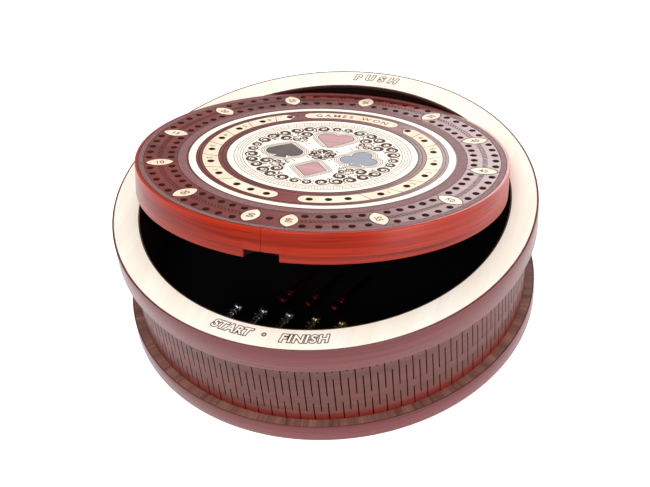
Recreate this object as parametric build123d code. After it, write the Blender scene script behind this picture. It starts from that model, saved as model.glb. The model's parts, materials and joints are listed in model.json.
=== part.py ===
from build123d import *
from math import acos, asin, atan2, cos, degrees, hypot, pi, radians, sin, sqrt
import os

# Round push-to-open cribbage box. Millimetres, +Z up, origin at the middle of
# the underside. -Y is the front (START and FINISH side), +Y the back, where the
# lid is pushed down. The lid is drawn closed and then tilted to its rest pose.

# ---- driving dimensions: box -------------------------------------------------
WELL_RADIUS = 82.6          # the other radii follow from this one
BASE_THICKNESS = 8.8
BASE_FOOTING = 4.3          # base outside the drum
BASE_EDGE = 0.8             # chamfer on the foot of the base
BASE_VENEER = 1.2           # walnut ring let into the top of the base
BASE_VENEER_MARGIN = 0.5    # red wood left outside the walnut ring
DRUM_HEIGHT = 34.85         # wall that shows between base and rim
DRUM_WALL = 3.0
SLEEVE_WALL = 1.6
WALL_SEAT = 1.5             # depth of the seats that hold the drum's two edges
RIM_WIDTH = 12.4
RIM_OVERHANG = 5.3          # rim outside the drum
RIM_HEIGHT = 12.8
RIM_LIP = 0.7               # red wood left outside the maple plate
RIM_EDGE = 0.6              # chamfer under the rim
RIM_PLATE = 1.2
FLOOR_LINING = 1.2
FLOOR_GAP = 0.2             # lining to sleeve

# ---- driving dimensions: slits in the bent wall --------------------------------
SLIT_COLUMNS = 182
SLIT_WIDTH = 0.5
LONG_SLIT_END = 0.58        # shares of the wall's height, from the top down
FOOT_SLIT_START = 0.70
HEAD_SLIT_END = 0.17
MIDDLE_SLIT_START = 0.28
MIDDLE_SLIT_END = 0.85

# ---- driving dimensions: lid ---------------------------------------------------
LID_GAP = 0.8               # lid to well, all round
LID_THICKNESS = 13.5
LID_BASE = 4.5              # lower board
LID_BAND = 0.9              # bent edge band
LID_SEAM = 0.15             # butt joint of the edge band, at the front
LID_EDGE = 0.35             # eased top edge
INLAY_DEPTH = 2.4
VENEER_DEPTH = 1.2

# ---- driving dimensions: pivot and stop ----------------------------------------
PIVOT_INSET = 15.1          # pivot line in front of the well's back
PIVOT_DROP = 2.4            # pivot line below the lid's face
PIN_RADIUS = 1.0
PIN_RUNNING = 0.05          # pin to lid bore
PIN_IN_RIM = 7.0
PIN_IN_LID = 6.2
PIN_END_PLAY = 0.3
TAB_RADIUS = 7.2
TAB_DEPTH = 5.4
NOTCH_RADIUS = 7.6
NOTCH_HEIGHT = 3.7
TAB_CLEARANCE = 0.15
REST_TILT = 17.65           # degrees: how far the lid stands open

# ---- driving dimensions: board -------------------------------------------------
PEG_HOLE_RADIUS = 1.55
PEG_HOLE_DEPTH = 6.5
PEG_HOLE_SIDES = 8          # few sides, because there are so many holes
OUTER_TRACK_INSET = 6.2     # the board's circles, inwards from the lid's edge
LOZENGE_TRACK_INSET = 10.8
INNER_TRACK_INSET = 15.6
LOZENGES = 13
FINISH_HALF_ANGLE = 6.5     # from the front to the first and last lozenge
HOLES_PER_LEG = 5
HOLE_PITCH_ANGLE = 4.95     # degrees
LOZENGE_LENGTH = 12.2
LOZENGE_WIDTH = 7.4
LOZENGE_CHORDS = 8          # along each side
MAPLE_RING_INSET = 23.2
MAPLE_RING_WIDTH = 3.4
OUTER_BAND_WIDTH = 2.4      # red wood between the maple ring and the arcs
ARC_WIDTH = 7.4
INNER_BAND_WIDTH = 3.2      # red wood between the arcs and the disc
ARC_FRONT_ANGLE = 5.0       # degrees from the front
ARC_BACK_ANGLE = 148.0
PLATE_START_ANGLE = 153.0
PARK_ANGLES = (10.8, 20.0, 29.4)
TALLY_HOLES = 7
TALLY_FIRST_ANGLE = 46.3
TALLY_PITCH_ANGLE = 16.4
SUIT_OFFSET = 17.0
SUIT_WIDTH = 16.4
SUIT_HEIGHT = 16.6
DIAMOND_WIDTH = 13.8
LOBE_SHARE = 0.27           # radius of a heart's lobe, as a share of its width
BLADE_SHARE = 0.86          # height of a spade's blade, as a share of the whole
LEAF_SHARE = 0.255          # radius of a club's leaf, as a share of its width
LEAF_DROP_SHARE = 0.13      # side leaves below the middle, as a share of the height
HUB_SHARE = 0.7             # plug between the leaves, as a share of a leaf
HUB_DROP_SHARE = 0.02
STEM_WIDTH_SHARE = 0.36
STEM_HEIGHT_SHARE = 0.45
NECK_SHARE = 0.22           # half width of a stem part way up, as a share of its foot
NECK_RISE_SHARE = 0.3
NECK_TOP_SHARE = 0.13

# ---- driving dimensions: pegs --------------------------------------------------
PEG_LENGTH = 28.0
PEG_HEAD_RADIUS = 2.6
PEG_HEAD_RINGS = ((0.30, 0.95), (0.87, 0.5), (1.0, 0.0), (0.80, -0.6))  # (radius, height) in head radii
PEG_COLLAR_RADIUS = 2.45
PEG_COLLAR_LENGTH = 1.4
PEG_NECK_LENGTH = 0.5
PEG_SIDES = 8               # few sides, because the pegs repeat
PEG_NECK_RADIUS = 1.5
PEG_TOP_RADIUS = 1.45
PEG_TIP_RADIUS = 1.1
PEG_PITCH = 12.5
PEG_TURN = 20.0             # degrees off the Y axis
PEG_FIRST_X = -34.2
PEG_ROW_Y = -35.0
RED_PEG_FIRST_X = -15.4
RED_PEG_ROW_Y = -26.0
PEG_REST_GAP = 0.05
CUT_OVERRUN = 1.0           # cutters run past the face they open

# ---- worked out ------------------------------------------------------------------
RIM_RADIUS = WELL_RADIUS + RIM_WIDTH
DRUM_RADIUS = RIM_RADIUS - RIM_OVERHANG
BASE_RADIUS = DRUM_RADIUS + BASE_FOOTING
RIM_BOTTOM = BASE_THICKNESS + DRUM_HEIGHT
RIM_TOP = RIM_BOTTOM + RIM_HEIGHT
DRUM_BORE = DRUM_RADIUS - DRUM_WALL
SLEEVE_BORE = DRUM_BORE - SLEEVE_WALL
DRUM_LOW = BASE_THICKNESS - WALL_SEAT
DRUM_HIGH = RIM_BOTTOM + WALL_SEAT
LID_RADIUS = WELL_RADIUS - LID_GAP
BOARD_RADIUS = LID_RADIUS - LID_BAND
LID_BOTTOM = RIM_TOP - LID_THICKNESS
BOARD_BOTTOM = LID_BOTTOM + LID_BASE
PIVOT_OFFSET = WELL_RADIUS - PIVOT_INSET
PIVOT_Z = RIM_TOP - PIVOT_DROP
PIVOT_AXIS = Axis((0, PIVOT_OFFSET, PIVOT_Z), (-1, 0, 0))
OUTER_TRACK = LID_RADIUS - OUTER_TRACK_INSET
LOZENGE_TRACK = LID_RADIUS - LOZENGE_TRACK_INSET
INNER_TRACK = LID_RADIUS - INNER_TRACK_INSET
MAPLE_RING_OUTER = LID_RADIUS - MAPLE_RING_INSET
MAPLE_RING_INNER = MAPLE_RING_OUTER - MAPLE_RING_WIDTH
ARC_OUTER = MAPLE_RING_INNER - OUTER_BAND_WIDTH
ARC_INNER = ARC_OUTER - ARC_WIDTH
DISC_RADIUS = ARC_INNER - INNER_BAND_WIDTH
LEG_ANGLE = (360 - 2 * FINISH_HALF_ANGLE) / (LOZENGES - 1)
FLOOR_TOP = BASE_THICKNESS + FLOOR_LINING
STAVE_TURN = -90 + 180 / SLIT_COLUMNS
STAVE_SAG = DRUM_RADIUS * (1 - cos(pi / SLIT_COLUMNS))

box_parts = {}
lid_parts = {}


# ---- helpers -----------------------------------------------------------------------
def tube(outer, inner, low, high):
    """Upright ring between two heights."""
    profile = Pos((outer + inner) / 2, (low + high) / 2) * Rectangle(outer - inner, high - low)
    return revolve(Plane.XZ * profile, Axis.Z)


def disc(radius, low, high, x=0.0, y=0.0):
    """Upright round plate or plug between two heights."""
    return extrude(Pos(x, y, low) * Circle(radius), high - low)


def around(angle, radius):
    """Place on the board: degrees from the front, counted towards +X."""
    return (radius * sin(radians(angle)), -radius * cos(radians(angle)))


def turned_profile(points):
    """Solid of revolution about Z from (radius, height) points."""
    outline = Polyline(*[(r, z) for r, z in points], close=True)
    return revolve(Plane.XZ * make_face(outline), Axis.Z)


def arc_band(inner, outer, start, end, pointed_end=False):
    """Flat band between two radii and two angles, its ends rounded into the band."""
    middle = (inner + outer) / 2
    half = (outer - inner) / 2
    inset = degrees(half / middle)
    first = start + inset
    last = end - inset
    inner_path = ThreePointArc(around(first, inner), around((first + last) / 2, inner), around(last, inner))
    outer_path = ThreePointArc(around(last, outer), around((first + last) / 2, outer), around(first, outer))
    start_cap = ThreePointArc(around(first, outer), around(start, middle), around(first, inner))
    if pointed_end:
        end_cap = Polyline(around(last, inner), around(end, middle), around(last, outer))
    else:
        end_cap = ThreePointArc(around(last, inner), around(end, middle), around(last, outer))
    return make_face([*inner_path.edges(), *end_cap.edges(), *outer_path.edges(), *start_cap.edges()])


def inlay(sketch, depth):
    """Let-in piece, its face flush with the top of the board."""
    return extrude(Pos(0, 0, RIM_TOP - depth) * sketch, depth)


# ---- suit outlines -----------------------------------------------------------------
def heart_outline(width, height):
    """Two lobes and the tangent lines that meet at the tip, centred on its middle."""
    lobe = width * LOBE_SHARE
    lobe_x = width / 2 - lobe
    lobe_y = height / 2 - lobe
    tip_y = -height / 2
    reach = hypot(lobe_x, lobe_y - tip_y)
    turn = atan2(tip_y - lobe_y, -lobe_x) + acos(lobe / reach)
    side_x = lobe_x + lobe * cos(turn)
    side_y = lobe_y + lobe * sin(turn)
    sides = make_face(Polyline((0, tip_y), (side_x, side_y), (lobe_x, lobe_y), (-lobe_x, lobe_y),
                               (-side_x, side_y), close=True))
    return sides + Pos(lobe_x, lobe_y) * Circle(lobe) + Pos(-lobe_x, lobe_y) * Circle(lobe)


def stem_outline(width, height):
    """Flared foot of a spade or club, standing on its lower edge at y = 0."""
    foot_x = width / 2
    neck_x = width * NECK_SHARE
    top_x = width * NECK_TOP_SHARE
    neck_y = height * NECK_RISE_SHARE
    left = ThreePointArc((-foot_x, 0), (-neck_x, neck_y), (-top_x, height))
    top = Line((-top_x, height), (top_x, height))
    right = ThreePointArc((top_x, height), (neck_x, neck_y), (foot_x, 0))
    foot = Line((foot_x, 0), (-foot_x, 0))
    return make_face([*left.edges(), *top.edges(), *right.edges(), *foot.edges()])


def standing_stem(width, height):
    """Stem of a whole suit of that size, its foot on the suit's lower edge."""
    return Pos(0, -height / 2) * stem_outline(width * STEM_WIDTH_SHARE, height * STEM_HEIGHT_SHARE)


def spade_outline(width, height):
    blade_height = height * BLADE_SHARE
    blade = Pos(0, (height - blade_height) / 2) * Rot(0, 0, 180) * heart_outline(width, blade_height)
    return blade + standing_stem(width, height)


def club_outline(width, height):
    leaf = width * LEAF_SHARE
    leaves = Pos(0, height / 2 - leaf) * Circle(leaf)
    for side in (-1, 1):
        leaves += Pos(side * (width / 2 - leaf), -height * LEAF_DROP_SHARE) * Circle(leaf)
    hub = Pos(0, -height * HUB_DROP_SHARE) * Circle(leaf * HUB_SHARE)
    return leaves + hub + standing_stem(width, height)


def diamond_outline(width, height):
    return make_face(Polyline((0, -height / 2), (width / 2, 0), (0, height / 2), (-width / 2, 0), close=True))


# ---- base ----------------------------------------------------------------------------
def make_base():
    body = turned_profile([
        (0, 0), (BASE_RADIUS - BASE_EDGE, 0), (BASE_RADIUS, BASE_EDGE), (BASE_RADIUS, BASE_THICKNESS),
        (BASE_RADIUS - BASE_VENEER_MARGIN, BASE_THICKNESS),
        (BASE_RADIUS - BASE_VENEER_MARGIN, BASE_THICKNESS - BASE_VENEER),
        (DRUM_RADIUS, BASE_THICKNESS - BASE_VENEER), (DRUM_RADIUS, DRUM_LOW),
        (SLEEVE_BORE, DRUM_LOW), (SLEEVE_BORE, BASE_THICKNESS), (0, BASE_THICKNESS)])
    veneer = tube(BASE_RADIUS - BASE_VENEER_MARGIN, DRUM_RADIUS, BASE_THICKNESS - BASE_VENEER, BASE_THICKNESS)
    lining = disc(SLEEVE_BORE - FLOOR_GAP, BASE_THICKNESS, FLOOR_TOP)
    box_parts["base_plate"] = body
    box_parts["base_veneer_ring"] = veneer
    box_parts["floor_lining"] = lining


# ---- wall: a flat panel slit so that it bends into a drum ----------------------------
def slit(angle, start, end):
    """Cutter for one slit; start and end are shares of the height, from the top."""
    top = RIM_BOTTOM - start * DRUM_HEIGHT
    bottom = RIM_BOTTOM - end * DRUM_HEIGHT
    if start == 0:
        top = DRUM_HIGH + CUT_OVERRUN
    if end == 1:
        bottom = DRUM_LOW - CUT_OVERRUN
    cutter = Box(SLIT_WIDTH, DRUM_WALL + 2 * CUT_OVERRUN, top - bottom)
    return Rot(0, 0, angle) * Pos(0, -(DRUM_RADIUS - DRUM_WALL / 2), (top + bottom) / 2) * cutter


def stave_ring(outer, inner, low, high):
    """Wall of flat staves, one for each column of slits, its corners on the two radii."""
    outline = RegularPolygon(outer, SLIT_COLUMNS, rotation=STAVE_TURN)
    hollow = RegularPolygon(inner, SLIT_COLUMNS, rotation=STAVE_TURN)
    return extrude(Pos(0, 0, low) * (outline - hollow), high - low)


def make_wall():
    wall = stave_ring(DRUM_RADIUS, DRUM_BORE + STAVE_SAG, DRUM_LOW, DRUM_HIGH)
    cutters = []
    for column in range(SLIT_COLUMNS):
        angle = column * 360 / SLIT_COLUMNS
        if column % 2 == 0:
            cutters.append(slit(angle, 0, LONG_SLIT_END))
            cutters.append(slit(angle, FOOT_SLIT_START, 1))
        else:
            cutters.append(slit(angle, 0, HEAD_SLIT_END))
            cutters.append(slit(angle, MIDDLE_SLIT_START, MIDDLE_SLIT_END))
    box_parts["drum_wall"] = wall - cutters
    box_parts["drum_sleeve"] = tube(DRUM_BORE, SLEEVE_BORE, DRUM_LOW, DRUM_HIGH)


# ---- rim with its maple plate, pivot pins and stop tab -------------------------------
def pin_bore(radius, start, end, side):
    """Cylinder along the pivot line from one distance off the middle to another."""
    length = end - start
    return Pos(side * (start + end) / 2, PIVOT_OFFSET, PIVOT_Z) * Rot(0, 90, 0) * Cylinder(radius, length)


def make_rim():
    plate_bottom = RIM_TOP - RIM_PLATE
    ring = turned_profile([
        (WELL_RADIUS, RIM_BOTTOM), (SLEEVE_BORE, RIM_BOTTOM), (SLEEVE_BORE, DRUM_HIGH),
        (DRUM_RADIUS, DRUM_HIGH), (DRUM_RADIUS, RIM_BOTTOM), (RIM_RADIUS - RIM_EDGE, RIM_BOTTOM),
        (RIM_RADIUS, RIM_BOTTOM + RIM_EDGE), (RIM_RADIUS, RIM_TOP), (RIM_RADIUS - RIM_LIP, RIM_TOP),
        (RIM_RADIUS - RIM_LIP, plate_bottom), (WELL_RADIUS, plate_bottom)])
    well_side = sqrt(WELL_RADIUS ** 2 - PIVOT_OFFSET ** 2)
    lid_side = sqrt(LID_RADIUS ** 2 - PIVOT_OFFSET ** 2)
    for side, name in ((-1, "pivot_pin_left"), (1, "pivot_pin_right")):
        pin_inner = lid_side - PIN_IN_LID
        pin_outer = well_side + PIN_IN_RIM
        box_parts[name] = pin_bore(PIN_RADIUS, pin_inner, pin_outer, side)
        ring -= pin_bore(PIN_RADIUS, 0, pin_outer, side)
    box_parts["rim_core"] = ring
    box_parts["rim_plate"] = tube(RIM_RADIUS - RIM_LIP, WELL_RADIUS, plate_bottom, RIM_TOP)
    tab_top = LID_BOTTOM + NOTCH_HEIGHT - TAB_CLEARANCE
    tab = disc(TAB_RADIUS, tab_top - TAB_DEPTH, tab_top, 0, -WELL_RADIUS)
    box_parts["stop_tab"] = tab & disc(WELL_RADIUS, tab_top - TAB_DEPTH, tab_top)


# ---- lid -------------------------------------------------------------------------------
def hole_places():
    """Every peg hole of the two tracks, and the one hole that ends the game."""
    places = [around(0, LOZENGE_TRACK)]
    for leg in range(LOZENGES - 1):
        leg_middle = FINISH_HALF_ANGLE + (leg + 0.5) * LEG_ANGLE
        for hole in range(HOLES_PER_LEG):
            angle = leg_middle + (hole - (HOLES_PER_LEG - 1) / 2) * HOLE_PITCH_ANGLE
            places.append(around(angle, OUTER_TRACK))
            places.append(around(angle, INNER_TRACK))
    return places


def tally_places(side):
    """Holes of one tally arc: the parking holes, then one hole for each game."""
    radius = (ARC_INNER + ARC_OUTER) / 2
    angles = list(PARK_ANGLES) + [TALLY_FIRST_ANGLE + step * TALLY_PITCH_ANGLE for step in range(TALLY_HOLES)]
    return [around(side * angle, radius) for angle in angles]


def peg_holes(places):
    bore = extrude(RegularPolygon(PEG_HOLE_RADIUS, PEG_HOLE_SIDES), PEG_HOLE_DEPTH + CUT_OVERRUN)
    return [Pos(x, y, RIM_TOP - PEG_HOLE_DEPTH) * bore for x, y in places]


def lozenge_outline(angle):
    """Pointed oval, its long axis along the board's radius; its two arcs are drawn in short chords."""
    half_length = LOZENGE_LENGTH / 2
    arc_radius = (half_length ** 2 + (LOZENGE_WIDTH / 2) ** 2) / LOZENGE_WIDTH
    arc_x = arc_radius - LOZENGE_WIDTH / 2
    half_turn = asin(half_length / arc_radius)
    points = []
    for side in (1, -1):
        for step in range(LOZENGE_CHORDS):
            turn = side * half_turn * (2 * step / LOZENGE_CHORDS - 1)
            points.append((side * (arc_radius * cos(turn) - arc_x), arc_radius * sin(turn)))
    return Rot(0, 0, angle) * Pos(0, -LOZENGE_TRACK) * make_face(Polyline(*points, close=True))


def make_lid():
    notch = disc(NOTCH_RADIUS, LID_BOTTOM - CUT_OVERRUN, LID_BOTTOM + NOTCH_HEIGHT, 0, -LID_RADIUS)
    board = disc(BOARD_RADIUS, BOARD_BOTTOM, RIM_TOP)
    lower = disc(BOARD_RADIUS, LID_BOTTOM, BOARD_BOTTOM) - notch
    band = turned_profile([
        (BOARD_RADIUS, LID_BOTTOM), (LID_RADIUS, LID_BOTTOM), (LID_RADIUS, RIM_TOP - LID_EDGE),
        (LID_RADIUS - LID_EDGE, RIM_TOP), (BOARD_RADIUS, RIM_TOP)])
    seam_cutter = Box(LID_SEAM, 4 * LID_BAND, LID_THICKNESS + 2 * CUT_OVERRUN)
    seam = Pos(0, -LID_RADIUS, (LID_BOTTOM + RIM_TOP) / 2) * seam_cutter
    band -= [notch, seam]
    lid_side = sqrt(LID_RADIUS ** 2 - PIVOT_OFFSET ** 2)
    bore_end = lid_side - PIN_IN_LID - PIN_END_PLAY
    for side in (-1, 1):
        bore = pin_bore(PIN_RADIUS + PIN_RUNNING, bore_end, lid_side + PIN_IN_RIM, side)
        board -= bore
        band -= bore

    ring_sketch = Circle(MAPLE_RING_OUTER) - Circle(MAPLE_RING_INNER)
    left_arc = mirror(arc_band(ARC_INNER, ARC_OUTER, ARC_FRONT_ANGLE, ARC_BACK_ANGLE, True), Plane.YZ)
    inlays = {
        "maple_ring": ring_sketch,
        "tally_arc_left": left_arc,
        "tally_arc_right": arc_band(ARC_INNER, ARC_OUTER, ARC_FRONT_ANGLE, ARC_BACK_ANGLE, True),
        "tally_plate": arc_band(ARC_INNER, ARC_OUTER, PLATE_START_ANGLE, 360 - PLATE_START_ANGLE),
        "centre_disc": Circle(DISC_RADIUS),
    }
    pockets = []
    for name, sketch in inlays.items():
        piece = inlay(sketch, INLAY_DEPTH)
        pockets.append(piece)
        lid_parts[name] = piece
    for number in range(LOZENGES):
        angle = -(FINISH_HALF_ANGLE + number * LEG_ANGLE)
        piece = inlay(lozenge_outline(angle), VENEER_DEPTH)
        pockets.append(piece)
        lid_parts[f"number_lozenge_{number * HOLES_PER_LEG:02d}"] = piece

    suits = {
        "suit_spade": Pos(-SUIT_OFFSET, 0) * spade_outline(SUIT_WIDTH, SUIT_HEIGHT),
        "suit_heart": Pos(0, SUIT_OFFSET) * heart_outline(SUIT_WIDTH, SUIT_HEIGHT),
        "suit_club": Pos(SUIT_OFFSET, 0) * club_outline(SUIT_WIDTH, SUIT_HEIGHT),
        "suit_diamond": Pos(0, -SUIT_OFFSET) * diamond_outline(DIAMOND_WIDTH, SUIT_HEIGHT),
    }
    for name, sketch in suits.items():
        lid_parts[name] = inlay(sketch, VENEER_DEPTH)
        lid_parts["centre_disc"] -= lid_parts[name]

    for side, name in ((-1, "tally_arc_left"), (1, "tally_arc_right")):
        holes = peg_holes(tally_places(side))
        lid_parts[name] -= holes
        board -= holes
    board -= pockets
    board -= peg_holes(hole_places())
    lid_parts["lid_board"] = board
    lid_parts["lid_base"] = lower
    lid_parts["lid_edge_band"] = band


# ---- pegs ------------------------------------------------------------------------------
def peg(x, y, turn):
    """Turned metal peg, lying on the lining with its head at x, y."""
    head = PEG_HEAD_RADIUS
    collar = -head - PEG_NECK_LENGTH
    rings = [(head * across, head * up) for across, up in PEG_HEAD_RINGS] + [
        (PEG_NECK_RADIUS, -head), (PEG_COLLAR_RADIUS, collar),
        (PEG_COLLAR_RADIUS, collar - PEG_COLLAR_LENGTH),
        (PEG_TOP_RADIUS, collar - 2 * PEG_COLLAR_LENGTH), (PEG_TIP_RADIUS, head - PEG_LENGTH)]
    sections = [Pos(0, 0, z) * RegularPolygon(r, PEG_SIDES) for r, z in rings]
    stand = loft(sections, ruled=True)
    sink = degrees(atan2(PEG_HEAD_RADIUS - PEG_TIP_RADIUS, PEG_LENGTH - PEG_HEAD_RADIUS))
    lie = Rot(0, 0, turn) * Rot(-90 + sink, 0, 0) * stand
    return Pos(x, y, FLOOR_TOP + PEG_HEAD_RADIUS + PEG_REST_GAP) * lie


def make_pegs():
    rows = (("peg_steel", PEG_FIRST_X, PEG_ROW_Y, -PEG_TURN),
            ("peg_brass", PEG_FIRST_X + 3 * PEG_PITCH, PEG_ROW_Y, -PEG_TURN),
            ("peg_red", RED_PEG_FIRST_X, RED_PEG_ROW_Y, 180 - PEG_TURN))
    for name, first_x, row_y, turn in rows:
        for number in range(3):
            box_parts[f"{name}_{number + 1}"] = peg(first_x + number * PEG_PITCH, row_y, turn)


# ---- build and write ---------------------------------------------------------------------
make_base()
make_wall()
make_rim()
make_lid()
make_pegs()

os.makedirs("parts", exist_ok=True)
for name, shape in box_parts.items():
    export_step(shape, f"parts/{name}.step")
for name, shape in lid_parts.items():
    export_step(shape.rotate(PIVOT_AXIS, REST_TILT), f"parts/{name}.step")
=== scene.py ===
import json
import math

import bmesh
import bpy
from mathutils import Matrix, Vector
from mathutils.kdtree import KDTree


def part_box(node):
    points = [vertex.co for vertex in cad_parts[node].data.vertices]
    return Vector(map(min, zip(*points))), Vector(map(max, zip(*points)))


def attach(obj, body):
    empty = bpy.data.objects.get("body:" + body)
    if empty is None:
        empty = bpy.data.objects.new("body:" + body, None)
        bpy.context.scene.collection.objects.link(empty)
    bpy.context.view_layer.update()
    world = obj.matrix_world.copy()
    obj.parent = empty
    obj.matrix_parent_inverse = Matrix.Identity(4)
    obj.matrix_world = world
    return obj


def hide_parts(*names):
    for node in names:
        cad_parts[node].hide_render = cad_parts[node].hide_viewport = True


# Round cribbage box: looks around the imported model. Sizes below are in millimetres
# and become metres through MM; places come from the frame where it holds them.

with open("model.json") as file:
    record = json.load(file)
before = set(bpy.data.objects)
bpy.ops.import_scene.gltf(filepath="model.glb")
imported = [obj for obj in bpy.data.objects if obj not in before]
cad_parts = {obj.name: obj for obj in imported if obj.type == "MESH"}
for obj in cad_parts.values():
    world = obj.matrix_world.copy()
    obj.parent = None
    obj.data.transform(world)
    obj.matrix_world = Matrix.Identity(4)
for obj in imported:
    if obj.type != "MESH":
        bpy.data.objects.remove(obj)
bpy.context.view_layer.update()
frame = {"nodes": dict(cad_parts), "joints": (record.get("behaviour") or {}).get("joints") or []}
MM = 0.001


# ---- sizes read from the frame ----
def corner(node, which, axis):
    """One coordinate of a node's box, in millimetres."""
    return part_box(node)[which][axis] / MM


RIM_TOP = corner("rim_plate", 1, 2)
RIM_RADIUS = corner("rim_core", 1, 0)
PLATE_RADIUS = corner("rim_plate", 1, 0)
BASE_TOP = corner("base_plate", 1, 2)
BASE_RADIUS = corner("base_plate", 1, 0)
VENEER_RADIUS = corner("base_veneer_ring", 1, 0)
VENEER_LOW = corner("base_veneer_ring", 0, 2)
DRUM_RADIUS = corner("drum_wall", 1, 0)
DRUM_LOW = corner("drum_wall", 0, 2)
DRUM_HIGH = corner("drum_wall", 1, 2)
SLEEVE_BORE = corner("floor_lining", 1, 0) + 0.2
FLOOR_TOP = corner("floor_lining", 1, 2)
LID_RADIUS = corner("lid_edge_band", 1, 0)
BOARD_RADIUS = corner("lid_board", 1, 0)
RING_OUTER = corner("maple_ring", 1, 0)
DISC_RADIUS = corner("centre_disc", 1, 0)
JOINT = frame["joints"][0]
PIVOT = Vector(JOINT["pos_m"])
TILT = math.radians(-JOINT["range_deg"][0])
LID_PLACE = Matrix.Translation(PIVOT) @ Matrix.Rotation(-TILT, 4, "X") @ Matrix.Translation(-PIVOT)

# ---- sizes measured on the object ----
WELL_RADIUS = 82.6
RIM_LIP_EDGE = 0.35
LID_THICKNESS = 13.5
LID_BASE = 4.5
OUTER_TRACK = 75.6
INNER_TRACK = 66.2
MIDDLE_TRACK = 71.0
HOLE_RADIUS = 1.55
HOLE_DEPTH = 6.5
LOZENGES = 13
FINISH_HALF_ANGLE = 6.5
LEG_ANGLE = (360 - 2 * FINISH_HALF_ANGLE) / (LOZENGES - 1)
HOLES_PER_LEG = 5
HOLE_PITCH = 4.95
LOZENGE_LENGTH = 12.2
LOZENGE_WIDTH = 7.4
RING_INNER = 55.2
ARC_OUTER = 52.8
ARC_INNER = 45.4
ARC_MIDDLE = (ARC_OUTER + ARC_INNER) / 2
ARC_FRONT_ANGLE = 5.0
ARC_BACK_ANGLE = 148.0
PLATE_START_ANGLE = 153.0
PARK_HOLES = (10.8, 20.0, 29.4)
TALLY_HOLES = 7
TALLY_FIRST = 46.3
TALLY_PITCH = 16.4
SUIT_OFFSET = 17.0
SUIT_WIDTH = 16.4
SUIT_HEIGHT = 16.6
DIAMOND_WIDTH = 13.8
NOTCH_RADIUS = 7.6
NOTCH_HEIGHT = 3.7
WALL_SEAT = 1.5             # how far the drum's upper edge reaches into the rim
PLATE_DEPTH = 1.2
DEEP_INLAY = 2.4
THIN_INLAY = 1.2
FINE_EDGE = 0.05            # rounding along the edges of boards and inlays
SUIT_EDGE = 0.04
OUTER_BAND = (78.0, 80.2)   # stippled bands, from radius to radius
INNER_BAND = (59.3, 63.2)
DISC_LINES = ((38.8, 0.24), (36.2, 0.2), (35.0, 0.24))     # radius and width
FRINGE = (36.7, 38.2)       # from radius to radius
SUIT_LINES = ((0.12, 0.34), (0.95, 0.24), (1.75, 0.24), (2.5, 0.24))    # distance from the suit and width
MARK = 0.04                 # how far a burnt mark stands proud of the face
MARK_ROOT = 0.1             # how deep it reaches into the face
LETTER_THICKNESS = 0.05     # half the thickness of a letter
CAP_SHARE = 0.73            # height of a capital as a share of the built-in font's size
PEG_BALL = 2.6
PEG_TIP = 1.1
PEG_LENGTH = 28.0
PEG_PITCH = 12.5


# ---- meshes ----
def around(angle, radius):
    """Place on the board: degrees from the front, counted towards +X."""
    return Vector((radius * math.sin(math.radians(angle)), -radius * math.cos(math.radians(angle))))


def new_object(name, data):
    """Object in the scene for a mesh, curve, light or camera."""
    made = bpy.data.objects.new(name, data)
    bpy.context.scene.collection.objects.link(made)
    return made


def new_mesh(name, verts, faces):
    """Mesh from points in millimetres."""
    mesh = bpy.data.meshes.new(name)
    mesh.from_pydata([Vector(v) * MM for v in verts], [], faces)
    return mesh


def add_piece(name, mesh, body, place=Matrix()):
    """New piece on its body; a piece on the lid is drawn flat and then tilted."""
    piece = new_object(name, mesh)
    piece.matrix_world = LID_PLACE if body == "lid" else place
    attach(piece, body)
    return piece


def mesh_piece(name, verts, faces, material, body, place=Matrix()):
    """New piece of one material from points in millimetres."""
    mesh = new_mesh(name, verts, faces)
    mesh.materials.append(material)
    mesh.validate()
    mesh.update()
    return add_piece(name, mesh, body, place)


def final_mesh(holder):
    """Mesh of an object with its curve or modifiers worked out."""
    bpy.context.view_layer.update()
    return bpy.data.meshes.new_from_object(holder.evaluated_get(bpy.context.evaluated_depsgraph_get()))


def curve_mesh(curve):
    """Mesh of a curve or text, through an object that is taken away again."""
    holder = new_object("holder", curve)
    mesh = final_mesh(holder)
    bpy.data.objects.remove(holder)
    return mesh


def sharpen(piece):
    """Smooth shading that keeps the sharper edges."""
    mesh = piece.data
    for polygon in mesh.polygons:
        polygon.use_smooth = True
    mesh.set_sharp_from_angle(angle=math.radians(35))


def lathe(name, profile, material, body, steps=360, lined=None, place=Matrix()):
    """Closed solid of revolution about its own Z from a closed (radius, height) outline.

    lined is (radius, material) of a wall that has another finish."""
    verts, faces = [], []
    count = len(profile)
    for step in range(steps):
        angle = 2 * math.pi * step / steps
        for radius, height in profile:
            verts.append((radius * math.sin(angle), -radius * math.cos(angle), height))
    for step in range(steps):
        here, there = step * count, (step + 1) % steps * count
        for k in range(count):
            other = (k + 1) % count
            faces.append((here + k, there + k, there + other, here + other))
    piece = mesh_piece(name, verts, faces, material, body, place)
    if min(radius for radius, _ in profile) == 0:
        close_axis(piece.data)
    if lined:
        piece.data.materials.append(lined[1])
        for polygon in piece.data.polygons:
            if abs(polygon.center.xy.length / MM - lined[0]) < 0.1 and abs(polygon.normal.z) < 0.9:
                polygon.material_index = 1
    sharpen(piece)
    return piece


def close_axis(mesh):
    """Joins the points that fell together on the axis."""
    work = bmesh.new()
    work.from_mesh(mesh)
    bmesh.ops.remove_doubles(work, verts=work.verts, dist=1e-7)
    work.to_mesh(mesh)
    work.free()


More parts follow.
